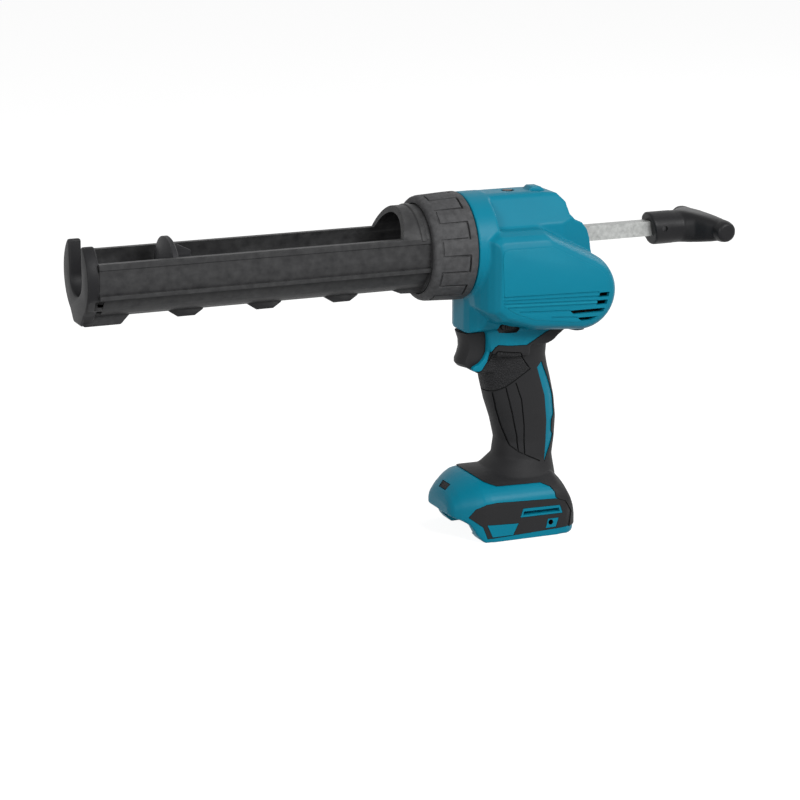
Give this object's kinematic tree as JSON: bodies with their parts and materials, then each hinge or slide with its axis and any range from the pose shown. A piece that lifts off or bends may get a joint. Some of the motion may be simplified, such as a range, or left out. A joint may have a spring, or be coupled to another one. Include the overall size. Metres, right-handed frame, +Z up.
{
  "type": "cordless caulking tool",
  "caption": "Cordless caulking tool: half-round cartridge holder, toothed push rod with T-handle, motor and gears in a split housing, trigger grip and battery foot.",
  "frame": {"origin": "middle of the foot's resting face, where the battery slide's channel opens", "axes": "+X to the rear along the push rod, +Y to the tool's right, +Z up; the nozzle end is at -X"},
  "size_m": [0.4554, 0.086, 0.2356],
  "materials": {
    "housing_teal": "satin",
    "holder_grey": "fine texture",
    "soft_black": "matt",
    "black_plastic": "satin",
    "zinc_steel": "zinc plated",
    "bright_steel": "ground",
    "black_steel": "black oxide",
    "sleeve_alloy": "cast",
    "bronze": "plain",
    "ferrite": "matt",
    "laminated_steel": "laminated",
    "board_green": "lacquered"
  },
  "bodies": {
    "housing": {"front_sleeve": "sleeve_alloy", "roller_pin": "bright_steel", "left_gear_plate": "zinc_steel", "motor_plate": "zinc_steel", "right_gear_plate": "zinc_steel", "plate_posts": "bright_steel", "shaft_bushes": "bronze", "motor_can": "zinc_steel", "motor_end_cap": "black_plastic", "motor_bushes": "bronze", "motor_magnets": "ferrite", "motor_brushes": "ferrite", "left_foot_panel": "black_plastic", "right_foot_panel": "black_plastic", "left_housing": "housing_teal", "right_housing": "housing_teal", "left_grip_cover": "soft_black", "right_grip_cover": "soft_black", "housing_screws": "black_steel", "top_screw": "black_steel", "hook_inserts": "bronze", "front_rod_guide": "black_plastic", "rear_rod_guide": "black_plastic", "rod_wiper": "soft_black", "trigger_switch": "black_plastic", "dial_control": "black_plastic", "control_board": "board_green", "terminal_block": "black_plastic", "terminal_blades": "bronze"},
    "rotor": {"motor_shaft": "bright_steel", "armature": "laminated_steel", "commutator": "bronze", "cooling_fan": "black_plastic", "motor_pinion": "bright_steel"},
    "idler": {"idler_shaft": "bright_steel", "first_gear": "bright_steel", "second_pinion": "bright_steel"},
    "drive": {"pinion_shaft": "bright_steel", "clutch_hub": "bright_steel"},
    "rod": {"rod_rack": "zinc_steel", "piston": "black_plastic", "piston_screw": "bright_steel", "rod_handle": "black_plastic", "handle_pin": "bright_steel"},
    "clutch": {"clutch_gear": "bright_steel"},
    "roller": {"rack_roller": "bright_steel"},
    "collar": {"clamp_collar": "soft_black"},
    "holder": {"cartridge_holder": "holder_grey"},
    "trigger": {"trigger": "black_plastic"},
    "lock_off": {"lock_off_button": "black_plastic"},
    "dial": {"speed_dial": "black_plastic"}
  },
  "joints": [
    {"name": "rod_slide", "type": "slide", "parent": "housing", "child": "rod", "axis": [1, 0, 0], "range_m": [-0.045, 0.172]},
    {"name": "pinion_turn", "type": "hinge", "parent": "housing", "child": "drive", "pos_m": [-0.00005, 0, 0.18626], "axis": [0, 1, 0], "range_deg": [-309.9, 1176.2]},
    {"name": "roller_spin", "type": "hinge", "parent": "housing", "child": "roller", "pos_m": [-0.00005, 0, 0.20905], "axis": [0, 1, 0], "range_deg": [-1976, 520.7]},
    {"name": "motor_spin", "type": "hinge", "parent": "housing", "child": "rotor", "pos_m": [0.0386, 0, 0.167], "axis": [0, 1, 0], "continuous": true},
    {"name": "first_gear_spin", "type": "hinge", "parent": "housing", "child": "idler", "pos_m": [0.0162, 0, 0.167], "axis": [0, 1, 0], "continuous": true},
    {"name": "clutch_gear_spin", "type": "hinge", "parent": "housing", "child": "clutch", "pos_m": [-0.00005, 0, 0.18626], "axis": [0, 1, 0], "continuous": true},
    {"name": "trigger_pull", "type": "slide", "parent": "housing", "child": "trigger", "axis": [1, 0, 0], "range_m": [0, 0.006], "stiffness_N_per_m": 600, "springref_m": -0.004},
    {"name": "lock_off_push", "type": "slide", "parent": "housing", "child": "lock_off", "axis": [0, 1, 0], "range_m": [-0.0025, 0.0025]},
    {"name": "speed_dial_turn", "type": "hinge", "parent": "housing", "child": "dial", "pos_m": [-0.0352, 0, 0.0264], "axis": [0.6, 0, 0.8], "range_deg": [-135, 135]},
    {"name": "collar_turn", "type": "hinge", "parent": "housing", "child": "collar", "pos_m": [-0.05, 0, 0.198], "axis": [1, 0, 0], "continuous": true},
    {"name": "holder_swivel", "type": "hinge", "parent": "housing", "child": "holder", "pos_m": [-0.06, 0, 0.198], "axis": [1, 0, 0], "continuous": true}
  ],
  "couplings": [
    {"joint": "pinion_turn", "follows": "rod_slide", "rad_per_m": 119.05},
    {"joint": "roller_spin", "follows": "rod_slide", "rad_per_m": -200},
    {"joint": "first_gear_spin", "follows": "motor_spin", "ratio": -0.28},
    {"joint": "clutch_gear_spin", "follows": "motor_spin", "ratio": 0.093333}
  ]
}
